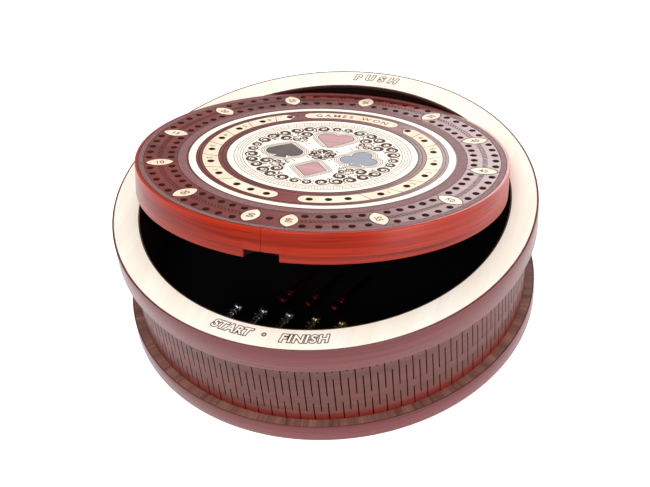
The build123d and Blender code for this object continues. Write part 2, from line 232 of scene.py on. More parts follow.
def plate(name, outlines, low, high, material, edge=FINE_EDGE, drilled=()):
    """Flat board on the lid between two heights; the first outline bounds it and the others are cut out.

    The walls of the drilled places are scorched."""
    curve = bpy.data.curves.new(name, "CURVE")
    curve.dimensions = "2D"
    curve.fill_mode = "BOTH"
    curve.extrude = (high - low) / 2 * MM - edge * MM
    curve.bevel_depth = edge * MM
    curve.bevel_resolution = 1
    curve.offset = -edge * MM
    for outline in outlines:
        spline = curve.splines.new("POLY")
        spline.points.add(len(outline) - 1)
        for point, place in zip(spline.points, outline):
            point.co = (place[0] * MM, place[1] * MM, 0, 1)
        spline.use_cyclic_u = True
    mesh = curve_mesh(curve)
    mesh.name = name
    mesh.transform(Matrix.Translation((0, 0, (high + low) / 2 * MM)))
    mesh.materials.clear()
    mesh.materials.append(material)
    if drilled:
        scorch_walls(mesh, drilled)
    piece = add_piece(name, mesh, "lid")
    sharpen(piece)
    return piece


def search_tree(places):
    tree = KDTree(len(places))
    for k, place in enumerate(places):
        tree.insert((place[0], place[1], 0), k)
    tree.balance()
    return tree


def scorch_walls(mesh, places):
    """Gives the walls of drilled holes the burnt finish."""
    mesh.materials.append(burnt_mark)
    tree = search_tree(places)
    for polygon in mesh.polygons:
        middle = polygon.center / MM
        if abs(polygon.normal.z) < 0.9 and tree.find((middle.x, middle.y, 0))[2] < HOLE_RADIUS + 0.1:
            polygon.material_index = 1


def circle(radius, steps, centre=(0, 0)):
    return [(centre[0] + radius * math.sin(2 * math.pi * k / steps),
             centre[1] - radius * math.cos(2 * math.pi * k / steps)) for k in range(steps)]


def hole(place):
    return circle(HOLE_RADIUS, 24, place)


# ---- outlines ----
def arc_points(centre, radius, start, end, steps):
    """Points on an arc from one angle to another, in degrees from +X."""
    points = []
    for k in range(steps + 1):
        angle = math.radians(start + (end - start) * k / steps)
        points.append((centre[0] + radius * math.cos(angle), centre[1] + radius * math.sin(angle)))
    return points


def round_end(points, tip, towards, half):
    """Adds a half circle about the tip, from the last point round by the side of the given place."""
    along = (towards - tip).normalized()
    across = (points[-1] - tip).normalized()
    steps = 12
    for k in range(1, steps):
        turn = math.pi * k / steps
        points.append(tip + half * (math.cos(turn) * across + math.sin(turn) * along))


def band_outline(inner, outer, start, end, pointed_end=False, mirrored=False):
    """Band between two radii and two angles from the front, with its ends rounded into the band."""
    middle, half = (inner + outer) / 2, (outer - inner) / 2
    inset = math.degrees(half / middle)
    steps = max(8, int(abs(end - start) / 2))
    first, last = start + inset, end - inset
    points = [around(first + (last - first) * k / steps, outer) for k in range(steps + 1)]
    if pointed_end:
        points.append(around(end, middle))
    else:
        round_end(points, around(last, middle), around(end, middle), half)
    points += [around(last + (first - last) * k / steps, inner) for k in range(steps + 1)]
    round_end(points, around(first, middle), around(start, middle), half)
    if mirrored:
        points = [Vector((-p[0], p[1])) for p in reversed(points)]
    return [(p[0], p[1]) for p in points]


def lozenge_outline(angle, steps=14):
    """Pointed oval about its own place on the board, its long axis along the radius."""
    half, wide = LOZENGE_LENGTH / 2, LOZENGE_WIDTH / 2
    radius = (half * half + wide * wide) / (2 * wide)
    offset = radius - wide
    limit = math.asin(half / radius)
    points = []
    for side in (1, -1):
        for k in range(steps):
            turn = side * limit * (2 * k / steps - 1)
            points.append(Vector((side * (radius * math.cos(turn) - offset), radius * math.sin(turn))))
    spin = Matrix.Rotation(math.radians(angle), 2)
    middle = around(angle, MIDDLE_TRACK)
    return [tuple(middle + spin @ p) for p in points]


def heart_points(width, height, steps=20):
    lobe = width * 0.27
    lobe_x, lobe_y = width / 2 - lobe, height / 2 - lobe
    tip_y = -height / 2
    reach = math.hypot(lobe_x, lobe_y - tip_y)
    turn = math.degrees(math.atan2(tip_y - lobe_y, -lobe_x) + math.acos(lobe / reach))
    cleft = math.degrees(math.acos(-lobe_x / lobe)) if lobe_x < lobe else 180
    right = arc_points((lobe_x, lobe_y), lobe, turn, cleft, steps)
    left = [(-x, y) for x, y in reversed(right)]
    return [(0, tip_y)] + right + left[1:]


class Stem:
    """Flared foot of a spade or club: its half width at any height."""

    def __init__(self, width, height):
        self.foot, self.neck = width * 0.18, width * 0.05
        self.low, self.rise = -height / 2, height * 0.42

    def half(self, y):
        share = min(1.0, max(0.0, (y - self.low) / self.rise))
        return self.neck + (self.foot - self.neck) * (1 - share) ** 2.2

    def side(self, start_y, steps=7):
        heights = [start_y + (self.low - start_y) * k / steps for k in range(steps + 1)]
        return [(self.half(y), y) for y in heights]


def onto_stem(points, stem):
    """Right side of an outline, followed down until it meets the stem and then to the stem's foot."""
    kept = []
    for x, y in points:
        if x < stem.half(y):
            break
        kept.append((x, y))
    return kept + stem.side(kept[-1][1] - 0.15)


def both_sides(side):
    """Closed outline from its right half, which starts at the top on the middle line."""
    return side + [(-x, y) for x, y in reversed(side[1:])]


def spade_points(width, height):
    blade = height * 0.86
    lobe = width * 0.27
    middle = (width / 2 - lobe, lobe - blade / 2 + (height - blade) / 2)
    tip = (0, height / 2)
    reach = math.hypot(middle[0], tip[1] - middle[1])
    turn = math.degrees(math.atan2(tip[1] - middle[1], -middle[0]) - math.acos(lobe / reach))
    return both_sides([tip] + onto_stem(arc_points(middle, lobe, turn, -180, 40), Stem(width, height)))


def club_points(width, height):
    leaf = width * 0.255
    top, right = Vector((0, height / 2 - leaf)), Vector((width / 2 - leaf, -height * 0.13))
    between = right - top
    reach = math.sqrt(leaf * leaf - between.length_squared / 4)
    cusp = (top + right) / 2 + Vector((-between.y, between.x)).normalized() * reach
    crown_end, wing_start = (math.degrees(math.atan2(*reversed(cusp - middle))) for middle in (top, right))
    crown = arc_points(top, leaf, 90, crown_end, 16)
    wing = arc_points(right, leaf, wing_start, -180, 36)[1:]
    return both_sides(crown + onto_stem(wing, Stem(width, height)))


def diamond_points(width, height):
    return [(0, -height / 2), (width / 2, 0), (0, height / 2), (-width / 2, 0)]


def shifted(points, x, y):
    return [(p[0] + x, p[1] + y) for p in points]


def grown(points, distance):
    """Closed anticlockwise outline moved outwards along its own normals."""
    count = len(points)
    result = []
    for k in range(count):
        before, here, after = (Vector(points[(k + d) % count]) for d in (-1, 0, 1))
        a, b = (here - before).normalized(), (after - here).normalized()
        along = (a + b).normalized()
        normal = Vector((along.y, -along.x))
        stretch = min(1.6, 1 / max(0.4, normal.dot(Vector((a.y, -a.x)))))
        result.append(tuple(here + normal * distance * stretch))
    return result


# ---- burnt marks: thin dark strips let into a face ----
class Marks:
    """Collects strips and patches of one burnt colour into one mesh."""

    def __init__(self, height):
        self.verts, self.faces = [], []
        self.low, self.high = height - MARK_ROOT, height + MARK

    def strip(self, points, widths, closed=False):
        """Strip along a line of points; widths is one number or one for each point."""
        count = len(points)
        if not hasattr(widths, "__len__"):
            widths = [widths] * count
        first = len(self.verts)
        for k in range(count):
            here = Vector(points[k][:2])
            before, after = k - 1, (k + 1) % count
            if not closed:
                before, after = max(0, k - 1), min(count - 1, k + 1)
            along = Vector(points[after][:2]) - Vector(points[before][:2])
            if along.length < 1e-9:
                along = Vector((1, 0))
            along.normalize()
            across = Vector((-along.y, along.x)) * max(widths[k], 0.02) / 2
            for edge in (here + across, here - across):
                self.verts.append((edge.x, edge.y, self.high))
                self.verts.append((edge.x, edge.y, self.low))
        last = count if closed else count - 1
        for k in range(last):
            a, b = first + 4 * k, first + 4 * ((k + 1) % count)
            self.faces += [(a, a + 2, b + 2, b), (a + 1, b + 1, b + 3, a + 3),
                           (a, b, b + 1, a + 1), (a + 2, a + 3, b + 3, b + 2)]
        if not closed:
            for a, flip in ((first, False), (first + 4 * (count - 1), True)):
                ends = (a, a + 1, a + 3, a + 2)
                self.faces.append(tuple(reversed(ends)) if flip else ends)

    def ring(self, radius, width, steps=240):
        self.strip(circle(radius, steps), width, True)

    def dot(self, place, radius, steps=10):
        first = len(self.verts)
        for x, y in circle(radius, steps, place):
            self.verts.append((x, y, self.high))
            self.verts.append((x, y, self.low))
        tops = [first + 2 * k for k in range(steps)]
        self.faces.append(tuple(tops))
        self.faces.append(tuple(t + 1 for t in reversed(tops)))
        for k in range(steps):
            a, b = tops[k], tops[(k + 1) % steps]
            self.faces.append((a, a + 1, b + 1, b))

    def piece(self, name, material, body):
        return mesh_piece(name, self.verts, self.faces, material, body)


def scroll(centre, start, turns, radius, hand):
    """Points and widths of one curled stroke that winds in towards its centre."""
    steps, wind_in, tail = 24, 0.72, 0.2
    thin, thick = 0.115, 0.483
    points, widths = [], []
    for k in range(steps + 1):
        share = k / steps
        angle = math.radians(start) + hand * 2 * math.pi * turns * share
        reach = radius * (1 - wind_in * share) * (1 + tail * max(0.0, 1 - 3 * share) ** 2)
        points.append((centre[0] + reach * math.cos(angle), centre[1] + reach * math.sin(angle)))
        widths.append(radius * (thin + thick * math.sin(math.pi * min(1, share * 1.12)) ** 1.3))
    return points, widths


def petal(start, end, width, steps=10):
    """Points and widths of a leaf-shaped stroke between two places."""
    points, widths = [], []
    for k in range(steps + 1):
        share = k / steps
        points.append(tuple(start + (end - start) * share))
        widths.append(width * math.sin(math.pi * (0.08 + 0.86 * share)) ** 0.8)
    return points, widths


# ---- materials ----
def colour(red, green, blue):
    """Linear colour from the 0 to 255 values seen in a picture."""
    linear = []
    for value in (red, green, blue):
        share = value / 255
        linear.append(share / 12.92 if share <= 0.04045 else ((share + 0.055) / 1.055) ** 2.4)
    return (*linear, 1.0)


def shaded(shade, factor, lift=0.0):
    """The colour made darker or lighter."""
    return tuple(min(1.0, c * factor + lift) for c in shade[:3]) + (1.0,)


class Finish:
    """One material, built up node by node; lengths in its vectors are millimetres."""

    def __init__(self, name, roughness, metallic=0.0, specular=0.5):
        self.material = bpy.data.materials.new(name)
        self.material.use_nodes = True
        self.tree = self.material.node_tree
        self.tree.nodes.clear()
        output = self.add("ShaderNodeOutputMaterial")
        self.shader = self.add("ShaderNodeBsdfPrincipled")
        self.shader.inputs["Roughness"].default_value = roughness
        self.shader.inputs["Metallic"].default_value = metallic
        self.shader.inputs["Specular IOR Level"].default_value = specular
        self.link(self.shader.outputs["BSDF"], output.inputs["Surface"])

    def add(self, kind, **settings):
        node = self.tree.nodes.new(kind)
        for key, value in settings.items():
            setattr(node, key, value)
        return node

    def link(self, source, target):
        self.tree.links.new(source, target)

    def feed(self, socket, value):
        if isinstance(value, bpy.types.NodeSocket):
            self.link(value, socket)
        else:
            socket.default_value = value

    def place(self):
        """Position in the piece's own space, in millimetres."""
        scale = self.add("ShaderNodeVectorMath", operation="SCALE")
        scale.inputs["Scale"].default_value = 1 / MM
        self.link(self.add("ShaderNodeTexCoord").outputs["Object"], scale.inputs[0])
        return scale.outputs["Vector"]

    def math(self, operation, a, b=0.0, clamp=False):
        node = self.add("ShaderNodeMath", operation=operation, use_clamp=clamp)
        self.feed(node.inputs[0], a)
        self.feed(node.inputs[1], b)
        return node.outputs[0]

    def split(self, vector):
        node = self.add("ShaderNodeSeparateXYZ")
        self.link(vector, node.inputs[0])
        return node.outputs

    def join(self, x, y, z):
        node = self.add("ShaderNodeCombineXYZ")
        for socket, value in zip(node.inputs, (x, y, z)):
            self.feed(socket, value)
        return node.outputs[0]

    def polar(self, vector, radius):
        """(length along the circle of that radius, distance from the middle, height)."""
        x, y, z = self.split(vector)
        turn = self.math("ARCTAN2", x, self.math("MULTIPLY", y, -1.0))
        squares = (self.math("MULTIPLY", x, x), self.math("MULTIPLY", y, y))
        reach = self.math("SQRT", self.math("ADD", *squares))
        return self.join(self.math("MULTIPLY", turn, radius), reach, z)

    def stretched(self, vector, x, y, z):
        node = self.add("ShaderNodeVectorMath", operation="MULTIPLY")
        self.link(vector, node.inputs[0])
        node.inputs[1].default_value = (x, y, z)
        return node.outputs["Vector"]

    def texture(self, kind, vector, output, **inputs):
        node = self.add(kind)
        self.link(vector, node.inputs["Vector"])
        for key, value in inputs.items():
            node.inputs[key].default_value = value
        return node.outputs[output]

    def noise(self, vector, scale, detail=3.0, roughness=0.55, distortion=0.0):
        return self.texture("ShaderNodeTexNoise", vector, "Fac", Scale=scale, Detail=detail,
                            Roughness=roughness, Distortion=distortion)

    def spots(self, vector, scale):
        return self.texture("ShaderNodeTexVoronoi", vector, "Distance", Scale=scale)

    def steps(self, value, *stops):
        """Colour ramp from (place, colour) stops."""
        node = self.add("ShaderNodeValToRGB")
        ramp = node.color_ramp
        while len(ramp.elements) < len(stops):
            ramp.elements.new(0.5)
        for element, (place, shade) in zip(ramp.elements, stops):
            element.position = place
            element.color = shade if hasattr(shade, "__len__") else (shade, shade, shade, 1)
        self.feed(node.inputs["Fac"], value)
        return node.outputs["Color"]

    def mix(self, share, a, b):
        node = self.add("ShaderNodeMix", data_type="RGBA")
        self.feed(node.inputs[0], share)
        self.feed(node.inputs[6], a)
        self.feed(node.inputs[7], b)
        return node.outputs[2]

    def paint(self, shade):
        self.feed(self.shader.inputs["Base Color"], shade)

    def rough(self, value):
        self.feed(self.shader.inputs["Roughness"], value)

    def bump(self, height, depth, strength):
        node = self.add("ShaderNodeBump")
        node.inputs["Strength"].default_value = strength
        node.inputs["Distance"].default_value = depth * MM
        self.feed(node.inputs["Height"], height)
        self.link(node.outputs["Normal"], self.shader.inputs["Normal"])


def wood(name, dark, light, along=(0.05, 1.0, 1.0), ringed=None, streak=0.7, roughness=0.5, specular=0.4,
         pores=0.35, foot=None, slit_shade_inside=None):
    """Finished wood: broad bands, fine streaks and short pores, all drawn out along the grain.

    along shortens the pattern's axes, the small one being the grain's direction. ringed is the radius of
    a circle that the grain follows. foot is (height, colour) of a strip of other wood below that height.
    slit_shade_inside is the distance from the middle within which the walls of cuts are painted near-black
    as shade in the slits."""
    finish = Finish(name, roughness=roughness, specular=specular)
    vector = place = finish.place()
    if ringed:
        vector = finish.polar(vector, ringed)
    grain = finish.stretched(vector, *along)
    broad = finish.noise(grain, 0.12, 4.0, 0.55, 0.6)
    fine = finish.noise(grain, streak, 5.0, 0.62, 0.2)
    shade = finish.math("ADD", finish.math("MULTIPLY", broad, 0.62), finish.math("MULTIPLY", fine, 0.38))
    middle = tuple((a + b) / 2 for a, b in zip(dark, light))
    tone = finish.steps(shade, (0.34, dark), (0.50, middle), (0.64, light))
    pore_shape = [a * (0.8 if a == min(along) else 3.2) for a in along]
    pore = finish.noise(finish.stretched(vector, *pore_shape), 1.0, 2.0)
    pore_mask = finish.steps(pore, (0.60, 0.0), (0.72, 1.0))
    tone = finish.mix(finish.math("MULTIPLY", pore_mask, pores), tone, shaded(dark, 0.45))
    if foot:
        above = finish.math("SUBTRACT", finish.split(place)[2], foot[0] - 2.2)
        tone = finish.mix(finish.math("DIVIDE", above, 3.0, clamp=True), foot[1], tone)
    # Painted shade: the slit walls inside that radius get a near-black colour for the dark of the slits.
    if slit_shade_inside:
        reach = finish.split(finish.polar(place, 1.0))[1]
        tone = finish.mix(finish.math("GREATER_THAN", reach, slit_shade_inside), SLIT_SHADE, tone)
    finish.paint(tone)
    finish.rough(finish.math("ADD", finish.math("MULTIPLY", fine, 0.22), roughness - 0.11))
    finish.bump(finish.math("SUBTRACT", fine, finish.math("MULTIPLY", pore_mask, 0.6)), 0.03, 0.5)
    return finish.material


def maple(name, dark, light, along, pores=0.06):
    return wood(name, dark, light, along, specular=0.3, pores=pores)


def stipple(name, ground, burnt):
    """Wood darkened by a close pattern of burnt dots."""
    finish = Finish(name, roughness=0.62)
    vector = finish.place()
    spot = finish.spots(vector, 1.9)
    coarse = finish.noise(vector, 0.8, 3.0)
    uneven = finish.math("ADD", spot, finish.math("MULTIPLY", coarse, 0.35))
    mask = finish.steps(uneven, (0.42, 1.0), (0.60, 0.0))
    finish.paint(finish.mix(mask, ground, burnt))
    finish.bump(mask, -0.06, 0.8)
    return finish.material


def scorched(name, shade):
    """Burnt or engraved line: dark, matt and a little uneven."""
    finish = Finish(name, roughness=0.7, specular=0.25)
    vector = finish.place()
    patch = finish.noise(vector, 1.4, 4.0)
    finish.paint(finish.steps(patch, (0.35, shade), (0.75, shaded(shade, 1.9, 0.004))))
    finish.bump(patch, 0.03, 0.4)
    return finish.material


def lining(name, shade):
    """Dull lining of the well: fine felt-like nap."""
    finish = Finish(name, roughness=0.92, specular=0.15)
    vector = finish.place()
    nap = finish.noise(vector, 3.5, 5.0, 0.7)
    finish.paint(finish.steps(nap, (0.3, shade), (0.8, shaded(shade, 2.2))))
    finish.bump(nap, 0.12, 0.7)
    return finish.material


def metal(name, shade, roughness):
    """Turned metal: fine rings of turning marks and a few dull patches."""
    finish = Finish(name, roughness=roughness, metallic=1.0)
    vector = finish.place()
    turning = finish.noise(finish.stretched(vector, 0.3, 0.3, 9.0), 1.0, 3.0)
    dull = finish.noise(vector, 0.35, 3.0)
    finish.paint(finish.steps(dull, (0.25, shaded(shade, 0.72)), (0.7, shade)))
    finish.rough(finish.math("ADD", finish.math("MULTIPLY", turning, 0.16), roughness - 0.05))
    finish.bump(turning, 0.01, 0.3)
    return finish.material


RIM_DARK, RIM_LIGHT = colour(70, 14, 16), colour(122, 40, 42)
MAPLE_DARK, MAPLE_LIGHT = colour(246, 230, 212), colour(252, 244, 232)
# Near-black colour painted on the drum's slit walls as shade in the slits.
SLIT_SHADE = colour(34, 12, 10)

red_face = wood("red_face", colour(66, 8, 6), colour(132, 30, 18), along=(0.045, 1.0, 1.0), roughness=0.34,
                specular=0.6)
red_side = wood("red_side", colour(84, 5, 1), colour(190, 46, 8), along=(0.02, 0.4, 1.3),
                ringed=LID_RADIUS, streak=1.1, roughness=0.3, specular=0.3)
rim_side, base_side = (
    wood(name, RIM_DARK, RIM_LIGHT, along=(0.02, 0.4, 1.1), ringed=radius, streak=0.9, roughness=0.3,
         specular=0.5) for name, radius in (("rim_side", RIM_RADIUS), ("base_side", BASE_RADIUS)))
# The drum's slit walls are painted near-black as shade in the slits.
drum_wood = wood("drum_wood", colour(58, 23, 20), colour(118, 60, 52), along=(0.05, 0.4, 1.5),
                 ringed=DRUM_RADIUS, streak=1.2, roughness=0.42, foot=(DRUM_LOW + 5.2, colour(126, 36, 26)),
                 slit_shade_inside=DRUM_RADIUS - 0.3)
dark_inside = wood("dark_inside", colour(14, 6, 5), colour(30, 12, 10), ringed=DRUM_RADIUS, roughness=0.8,
                   specular=0.1)
maple_ring_wood = maple("maple_ring_wood", MAPLE_DARK, MAPLE_LIGHT, (0.05, 1.0, 1.0))
maple_rim_wood = maple("maple_rim_wood", MAPLE_DARK, MAPLE_LIGHT, (1.0, 0.05, 1.0))
maple_arc_wood = maple("maple_arc_wood", colour(226, 198, 168), colour(248, 232, 212), (1.0, 0.06, 1.0),
                       pores=0.08)
walnut_ring_wood = wood("walnut_ring_wood", colour(84, 52, 44), colour(158, 112, 98),
                        along=(1.6, 0.08, 1.0), ringed=BASE_RADIUS)
rose_wood = wood("rose_wood", colour(172, 120, 122), colour(200, 152, 154), pores=0.15)
dark_wood = wood("dark_wood", colour(62, 48, 44), colour(98, 80, 74), along=(1.0, 0.05, 1.0))
grey_wood = wood("grey_wood", colour(122, 126, 138), colour(156, 160, 172), pores=0.15)
stipple_face = stipple("stipple_face", colour(130, 84, 84), colour(52, 24, 24))
burnt_mark = scorched("burnt_mark", colour(56, 27, 18))
brown_mark = scorched("brown_mark", colour(92, 52, 38))
black_lining = lining("black_lining", colour(9, 5, 6))
steel = metal("steel", (0.95, 0.95, 0.98, 1), 0.22)
brass = metal("brass", (1.0, 0.76, 0.32, 1), 0.22)
red_metal = metal("red_metal", (0.16, 0.012, 0.012, 1), 0.35)
pin_steel = metal("pin_steel", (0.45, 0.45, 0.47, 1), 0.3)


def dress(node, material):
    """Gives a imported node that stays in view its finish."""
    piece = frame["nodes"][node]
    piece.data.materials.clear()
    piece.data.materials.append(material)


def stand_for(node):
    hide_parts(node)


# ---- box: base, drum, rim ----
def make_base():
    """Foot with softened edges and grooves for the ring and the wall, and the walnut ring."""
    foot_edge, foot_soft = 0.8, 0.25
    top_edge, top_soft = 0.3, 0.08
    body = lathe("base_body", [
        (0, 0), (BASE_RADIUS - foot_edge, 0), (BASE_RADIUS - foot_soft, foot_soft),
        (BASE_RADIUS, foot_edge), (BASE_RADIUS, BASE_TOP - top_edge),
        (BASE_RADIUS - top_soft, BASE_TOP - top_soft), (BASE_RADIUS - top_edge, BASE_TOP),
        (VENEER_RADIUS, BASE_TOP), (VENEER_RADIUS, VENEER_LOW), (DRUM_RADIUS, VENEER_LOW),
        (DRUM_RADIUS, DRUM_LOW), (SLEEVE_BORE, DRUM_LOW), (SLEEVE_BORE, BASE_TOP), (0, BASE_TOP)],
        base_side, "box", steps=512)
    stand_for("base_plate")
    ring = lathe("base_top_ring", [
        (VENEER_RADIUS, VENEER_LOW), (VENEER_RADIUS, BASE_TOP - top_soft),
        (VENEER_RADIUS - top_soft, BASE_TOP), (DRUM_RADIUS, BASE_TOP), (DRUM_RADIUS, VENEER_LOW)],
        walnut_ring_wood, "box", steps=512)
    stand_for("base_veneer_ring")


def make_rim():
    """Red ring with a rounded lower edge and a thin lip, and the maple ring let into it."""
    low, plate_low = DRUM_HIGH - WALL_SEAT, RIM_TOP - PLATE_DEPTH
    round_off, round_in, round_up = 1.1, 0.35, 0.28
    lip_soft, joint_edge, mouth_edge = 0.1, 0.06, 0.15
    core = lathe("rim_body", [
        (WELL_RADIUS, low), (SLEEVE_BORE, low), (SLEEVE_BORE, DRUM_HIGH), (DRUM_RADIUS, DRUM_HIGH),
        (DRUM_RADIUS, low), (RIM_RADIUS - round_off, low), (RIM_RADIUS - round_in, low + round_up),
        (RIM_RADIUS, low + round_off), (RIM_RADIUS, RIM_TOP - RIM_LIP_EDGE),
        (RIM_RADIUS - lip_soft, RIM_TOP - lip_soft), (RIM_RADIUS - RIM_LIP_EDGE, RIM_TOP),
        (PLATE_RADIUS, RIM_TOP), (PLATE_RADIUS, plate_low), (WELL_RADIUS, plate_low)],
        rim_side, "box", steps=512, lined=(WELL_RADIUS, dark_inside))
    stand_for("rim_core")
    top = lathe("rim_face", [
        (PLATE_RADIUS, plate_low), (PLATE_RADIUS, RIM_TOP - joint_edge),
        (PLATE_RADIUS - joint_edge, RIM_TOP), (WELL_RADIUS + mouth_edge, RIM_TOP),
        (WELL_RADIUS, RIM_TOP - mouth_edge), (WELL_RADIUS, plate_low)],
        maple_rim_wood, "box", steps=512, lined=(WELL_RADIUS, burnt_mark))
    stand_for("rim_plate")


def rim_marks():
    """Burnt line round the mouth, joint line at the lip, and the dot between the two front words."""
    mouth_inset, mouth_width = 0.42, 0.5
    joint_inset, joint_width = 0.12, 0.16
    burn = Marks(RIM_TOP)
    burn.ring(WELL_RADIUS + mouth_inset, mouth_width, 360)
    burn.ring(PLATE_RADIUS - joint_inset, joint_width, 360)
    spot = around(0.5, 87.4)
    burn.strip(circle(0.85, 20, spot), 0.5, True)
    burn.dot(spot, 0.3)
    burn.piece("rim_burnt_lines", burnt_mark, "box")


# ---- lettering ----
def glyph(text, cap, slant=0.0, weight=0.0):
    """Mesh of one piece of text with capitals that high, centred on X and standing on Y = 0."""
    curve = bpy.data.curves.new("glyph_" + text, "FONT")
    curve.body = text
    curve.size = cap / CAP_SHARE * MM
    curve.shear = slant
    curve.offset = weight * MM
    curve.extrude = LETTER_THICKNESS * MM
    curve.align_x = "CENTER"
    curve.resolution_u = 4
    return curve_mesh(curve)


class Lettering:
    """Collects letters of one colour on one face into a single piece."""

    def __init__(self, name, material, height, body):
        self.name, self.material, self.height, self.body = name, material, height, body
        self.meshes = []

    def put(self, text, cap, place, turn, **style):
        """Text with capitals that high, its middle at the place, turned anticlockwise by turn degrees."""
        mesh = glyph(text, cap, **style)
        lift = Matrix.Translation((0, -cap / 2 * MM, 0))
        spin = Matrix.Rotation(math.radians(turn), 4, "Z")
        move = Matrix.Translation((place[0] * MM, place[1] * MM, self.height * MM))
        mesh.transform(move @ spin @ lift)
        self.meshes.append(mesh)

    def arc(self, text, cap, start, end, radius, outward=False, **style):
        """Letters spread evenly along a circle between two angles, read from start to end."""
        widths = [self.width(letter, cap) for letter in text]
        room = math.radians(abs(end - start)) * radius
        gap = (room - sum(widths)) / max(1, len(text) - 1)
        along = 0.0
        for letter, width in zip(text, widths):
            here = start + (end - start) * (along + width / 2) / room
            if letter != " ":
                self.put(letter, cap, around(here, radius), here + 180 if outward else here, **style)
            along += width + gap

    def width(self, letter, cap):
        if letter == " ":
            return cap * 0.5
        mesh = glyph(letter, cap)
        across = [vertex.co.x for vertex in mesh.vertices]
        bpy.data.meshes.remove(mesh)
        return (max(across) - min(across)) / MM

    def piece(self):
        merged = bmesh.new()
        for mesh in self.meshes:
            merged.from_mesh(mesh)
            bpy.data.meshes.remove(mesh)
        mesh = bpy.data.meshes.new(self.name)
        merged.to_mesh(mesh)
        merged.free()
        mesh.materials.append(self.material)
        return add_piece(self.name, mesh, self.body)


def rim_lettering():
    """Direction words: a bold burnt outline round letters that keep the maple's colour."""
    cap, slant, outline_weight, fill_weight, fill_lift = 4.3, 0.22, 0.55, 0.14, 0.03
    outline = Lettering("rim_letter_outlines", burnt_mark, RIM_TOP, "box")
    fill = Lettering("rim_letters", maple_rim_wood, RIM_TOP + fill_lift, "box")
    words = (("START", -14.5, -3.4, 87.5, False), ("FINISH", 5.0, 17.4, 88.0, False),
             ("PUSH", 186.6, 173.4, 90.0, True))
    for word, start, end, radius, outward in words:
        for lettering, weight in ((outline, outline_weight), (fill, fill_weight)):
            lettering.arc(word, cap, start, end, radius, outward, slant=slant, weight=weight)
    outline.piece()
    fill.piece()


# ---- lid ----
def lozenge_angle(number):
    """Angle of a numbered lozenge; the count runs from the front towards -X."""
    return -(FINISH_HALF_ANGLE + number * LEG_ANGLE)


def leg_angles(leg):
    middle = FINISH_HALF_ANGLE + (leg + 0.5) * LEG_ANGLE
    return [middle + (k - (HOLES_PER_LEG - 1) / 2) * HOLE_PITCH for k in range(HOLES_PER_LEG)]


def tally_angles():
    return list(PARK_HOLES) + [TALLY_FIRST + k * TALLY_PITCH for k in range(TALLY_HOLES)]


def cut(piece, cutters):
    """Takes closed meshes out of a piece for good; both are in the piece's own coordinates."""
    for name, verts, faces in cutters:
        tool = new_object(name, new_mesh(name, verts, faces))
        tool.matrix_world = piece.matrix_world
        modifier = piece.modifiers.new("cut", "BOOLEAN")
        modifier.operation = "DIFFERENCE"
        modifier.solver = "EXACT"
        modifier.object = tool
        made = final_mesh(piece)
        piece.modifiers.clear()
        made.name = piece.data.name
        piece.data = made
        bpy.data.objects.remove(tool)
    sharpen(piece)


def post(name, outline, low, high):
    """Closed upright prism as (name, points, faces)."""
    count = len(outline)
    verts = [(x, y, low) for x, y in outline] + [(x, y, high) for x, y in outline]
    faces = [tuple(reversed(range(count))), tuple(range(count, 2 * count))]
    for k in range(count):
        other = (k + 1) % count
        faces.append((k, other, count + other, count + k))
    return name, verts, faces


